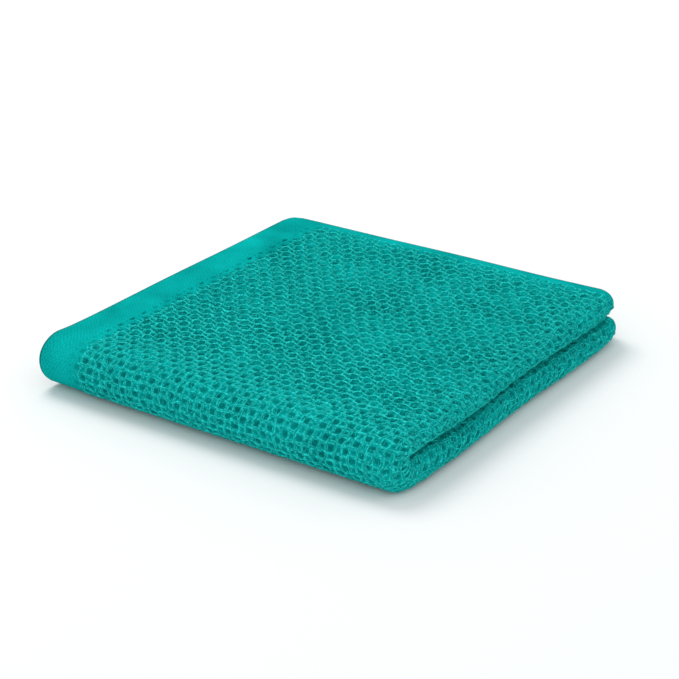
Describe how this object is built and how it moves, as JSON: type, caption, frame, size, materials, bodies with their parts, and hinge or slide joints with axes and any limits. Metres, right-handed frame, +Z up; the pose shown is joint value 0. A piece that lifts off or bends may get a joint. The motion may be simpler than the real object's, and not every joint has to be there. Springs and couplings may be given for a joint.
{
  "type": "dishcloth",
  "caption": "Square cotton dishcloth in a thick honeycomb weave with smooth hem bands, folded into a square pad with a round rolled front edge and soft lips at its side.",
  "frame": {"origin": "middle of the underside's outline, on the surface that the folded cloth lies on", "axes": "+Z up through the layers, -Y towards the rolled front edge, +X towards the fold whose lips show at the side"},
  "size_m": [0.1548, 0.1596, 0.0214],
  "materials": {
    "honeycomb_cotton": "matt, soft cotton yarn in a deep honeycomb weave, with smooth plain-woven hem bands"
  },
  "bodies": {
    "root": {"cloth": "honeycomb_cotton"}
  },
  "joints": []
}
